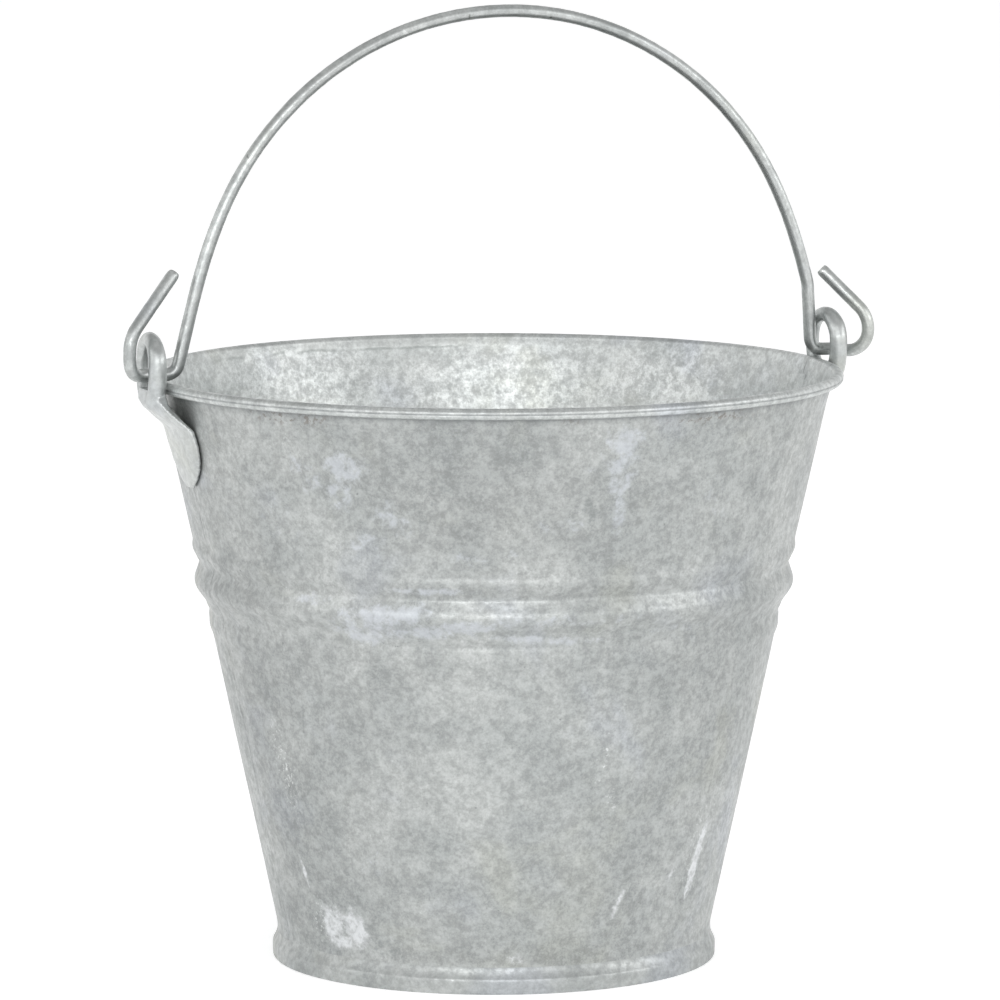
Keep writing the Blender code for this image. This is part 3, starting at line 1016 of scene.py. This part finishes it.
def zinc_run(finish, place, around, height, outer):
    """Masks of the edge and the body of the zinc that ran down inside the far rim and froze."""
    wave = finish.noise(0.017, 3.0, 0.55, coord=finish.scaled(place, (1.0, 0.0, 0.0)), offset=3.0)
    run_low = finish.maths("MULTIPLY_ADD", wave, RUN_WAVE, RUN_Z - RUN_WAVE / 2)
    above = finish.maths("SUBTRACT", height, run_low)
    degrees_round = finish.maths("MULTIPLY", around, 180 / pi / WALL_MEAN_R)
    first = finish.step(degrees_round, RUN_SPAN[0] - 6, RUN_SPAN[0] + 6)
    last = finish.step(degrees_round, RUN_SPAN[1] + 12, RUN_SPAN[1] - 12)
    fading = finish.step(finish.noise(0.012, 3.0, 0.6, offset=101.0), 0.38, 0.56)
    within = finish.maths("SUBTRACT", 1.0, outer)
    within = finish.maths("MULTIPLY", within, finish.maths("MULTIPLY", first, last))
    within = finish.maths("MULTIPLY", within, fading)
    edge = finish.step(finish.maths("ABSOLUTE", above), 0.0009, 0.0002)
    body = finish.step(above, 0.0, 0.0008)
    return finish.maths("MULTIPLY", edge, within), finish.maths("MULTIPLY", body, within)


def wall_zinc():
    """The wall's finish, with the streaks, stains and white rust that its outer face has."""
    finish = Finish("zinc_wall")
    place = finish.node("ShaderNodeAttribute", attribute_name="place").outputs["Vector"]
    split = finish.node("ShaderNodeSeparateXYZ")
    finish.put(split.inputs[0], place)
    outer = finish.step(split.outputs["Z"], 0.3, 0.7)
    colour, clouds, flakes = zinc_base(finish, WALL_TONE, 1.0, 1.15)

    # The inside is brighter and less weathered.
    inside = finish.mix(1.0, colour, (INSIDE_TONE, INSIDE_TONE, INSIDE_TONE), "MULTIPLY")
    colour = finish.mix(outer, inside, colour)
    # Broad lighter and darker areas, partly random tone and partly painted light and painted shade.
    tone = finish.maths("MULTIPLY_ADD", finish.named("tone"), TONE_REACH, 1.0)
    colour = finish.mix(1.0, colour, tone, "MULTIPLY")

    edges = finish.noise(0.0056, 7.0, 0.74, distortion=0.2, offset=70.0)
    crisp = finish.noise(0.0026, 5.0, 0.70, offset=75.0)
    colour = marked_zinc(finish, colour, place, outer, clouds, edges, crisp)

    run_edge, run_body = zinc_run(finish, place, split.outputs["X"], split.outputs["Y"], outer)
    colour = finish.mix(finish.maths("MULTIPLY", run_edge, 0.45), colour, (0.25, 0.27, 0.26))
    colour = finish.mix(finish.maths("MULTIPLY", run_body, 0.25), colour, (0.72, 0.74, 0.72))

    # White rust is rough and stands up from the flakes, as the run does.
    crust = finish.maths("MULTIPLY", finish.marked("rust", edges, 2.2), 0.85)
    smooth = finish.step(flakes, 0.35, 0.65, 0.50, 0.37)
    roughness = finish.maths("MULTIPLY_ADD", crust, 0.30, smooth)
    relief = finish.maths("MULTIPLY_ADD", crust, 1.2, flakes)
    relief = finish.maths("MULTIPLY_ADD", run_body, 1.5, relief)
    return finish.finish_with(colour, roughness, relief, 0.35)


def coat(made, material):
    made.data.materials.clear()
    made.data.materials.append(material)


# ---------------------------------------------------------------- the object

front = wall_half("body_front_sheet", "body_sheet_front", pi)
rear = wall_half("body_rear_sheet", "body_sheet_rear", 0.0)
hoop = make_hoop()
bottom = make_bottom()
right_ear = make_ear("right_ear_forged", "right_ear", 0.0, RIGHT_TWIST, -1)
left_ear = make_ear("left_ear_forged", "left_ear", pi, 0.0, 1)
bail = make_bail()

wall_finish = wall_zinc()
coat(front, wall_finish)
coat(rear, wall_finish)
coat(hoop, plain_zinc("zinc_hoop_visual", 0.84, 21.0))
coat(bottom, plain_zinc("zinc_bottom_visual", 0.90, 31.0, rough=(0.40, 0.56)))
coat(right_ear, plain_zinc("zinc_right_ear_visual", 1.06, 41.0, rough=(0.30, 0.42), mottle=0.7))
coat(left_ear, plain_zinc("zinc_left_ear_visual", 1.06, 47.0, rough=(0.30, 0.42), mottle=0.7))
coat(bail, plain_zinc("zinc_bail_visual", 1.0, 53.0, rough=(0.28, 0.42), pits=0.8))
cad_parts["rim_wire"].material_slots[0].material = plain_zinc("zinc_rim_wire_visual", 0.8, 61.0)


# ---------------------------------------------------------------- stage, light and camera


def make_floor():
    """A wide pale disc that glows a little, so that it is plain white in the picture."""
    rings = (0.0, 0.3, 0.8, 2.0, 6.0, 30.0)
    verts = [(0.0, 0.0, 0.0)]
    faces = []
    steps = 64
    for r in rings[1:]:
        verts += [(r * cos(2 * pi * i / steps), r * sin(2 * pi * i / steps), 0.0) for i in range(steps)]
    for i in range(steps):
        j = (i + 1) % steps
        faces.append((0, 1 + i, 1 + j))
        for k in range(len(rings) - 2):
            a = 1 + k * steps
            b = a + steps
            faces.append((a + i, b + i, b + j, a + j))
    made = mesh_object("studio_floor", verts, faces)
    paint = bpy.data.materials.new("floor_white")
    paint.use_nodes = True
    shader = paint.node_tree.nodes["Principled BSDF"]
    shader.inputs["Base Color"].default_value = (0.86, 0.86, 0.86, 1.0)
    shader.inputs["Roughness"].default_value = 0.9
    shader.inputs["Specular IOR Level"].default_value = 0.0
    shader.inputs["Emission Color"].default_value = (1.0, 1.0, 1.0, 1.0)
    shader.inputs["Emission Strength"].default_value = FLOOR_GLOW
    coat(made, paint)


def make_world():
    """A white sky, brighter near the horizon than overhead."""
    world = bpy.data.worlds.new("studio")
    bpy.context.scene.world = world
    world.use_nodes = True
    tree = world.node_tree
    back = tree.nodes["Background"]
    place = tree.nodes.new("ShaderNodeTexCoord")
    split = tree.nodes.new("ShaderNodeSeparateXYZ")
    fade = tree.nodes.new("ShaderNodeMapRange")
    fade.interpolation_type = "SMOOTHSTEP"
    fade.inputs["From Min"].default_value = 0.35
    fade.inputs["From Max"].default_value = 0.80
    fade.inputs["To Min"].default_value = WORLD_LOW
    fade.inputs["To Max"].default_value = WORLD_HIGH
    tree.links.new(place.outputs["Generated"], split.inputs[0])
    tree.links.new(split.outputs["Z"], fade.inputs["Value"])
    tree.links.new(fade.outputs[0], back.inputs["Strength"])
    back.inputs["Color"].default_value = (1.0, 1.0, 1.0, 1.0)


def softbox(name, azimuth, elevation, distance, size, radiance):
    """A soft rectangle of light, aimed at the axis; its brightness is given as radiance."""
    a, e = radians(azimuth), radians(elevation)
    data = bpy.data.lights.new(name, "AREA")
    data.shape = "RECTANGLE"
    data.size, data.size_y = size
    data.energy = radiance * pi * size[0] * size[1]
    made = bpy.data.objects.new(name, data)
    bpy.context.scene.collection.objects.link(made)
    back = Vector((sin(a) * cos(e), -cos(a) * cos(e), sin(e)))
    made.location = back * distance + Vector((0, 0, LIGHT_AIM_Z))
    made.rotation_euler = back.to_track_quat("Z", "Y").to_euler()
    made.visible_camera = False


make_floor()
make_world()
softbox("front_softbox", -24, 17, 2.6, (2.6, 0.55), 3.9)
softbox("right_softbox", 52, 16, 2.6, (2.4, 0.45), 2.6)
softbox("left_softbox", -84, 17, 2.6, (1.6, 0.50), 1.5)
softbox("top_softbox", 0, 89, 2.4, (2.6, 2.6), 0.3)

back = Vector(
    (
        sin(CAMERA_AZIMUTH) * cos(CAMERA_ELEVATION),
        -cos(CAMERA_AZIMUTH) * cos(CAMERA_ELEVATION),
        sin(CAMERA_ELEVATION),
    )
)
side = Vector((cos(CAMERA_AZIMUTH), sin(CAMERA_AZIMUTH), 0.0))
camera = bpy.data.objects.new("camera", bpy.data.cameras.new("camera"))
bpy.context.scene.collection.objects.link(camera)
camera.data.lens = CAMERA_LENS
camera.data.sensor_width = 36.0
camera.location = side * TARGET_RIGHT + Vector((0, 0, TARGET_Z)) + back * CAMERA_DISTANCE
camera.rotation_euler = back.to_track_quat("Z", "Y").to_euler()
bpy.context.scene.camera = camera
bpy.context.scene.view_settings.view_transform = "Standard"
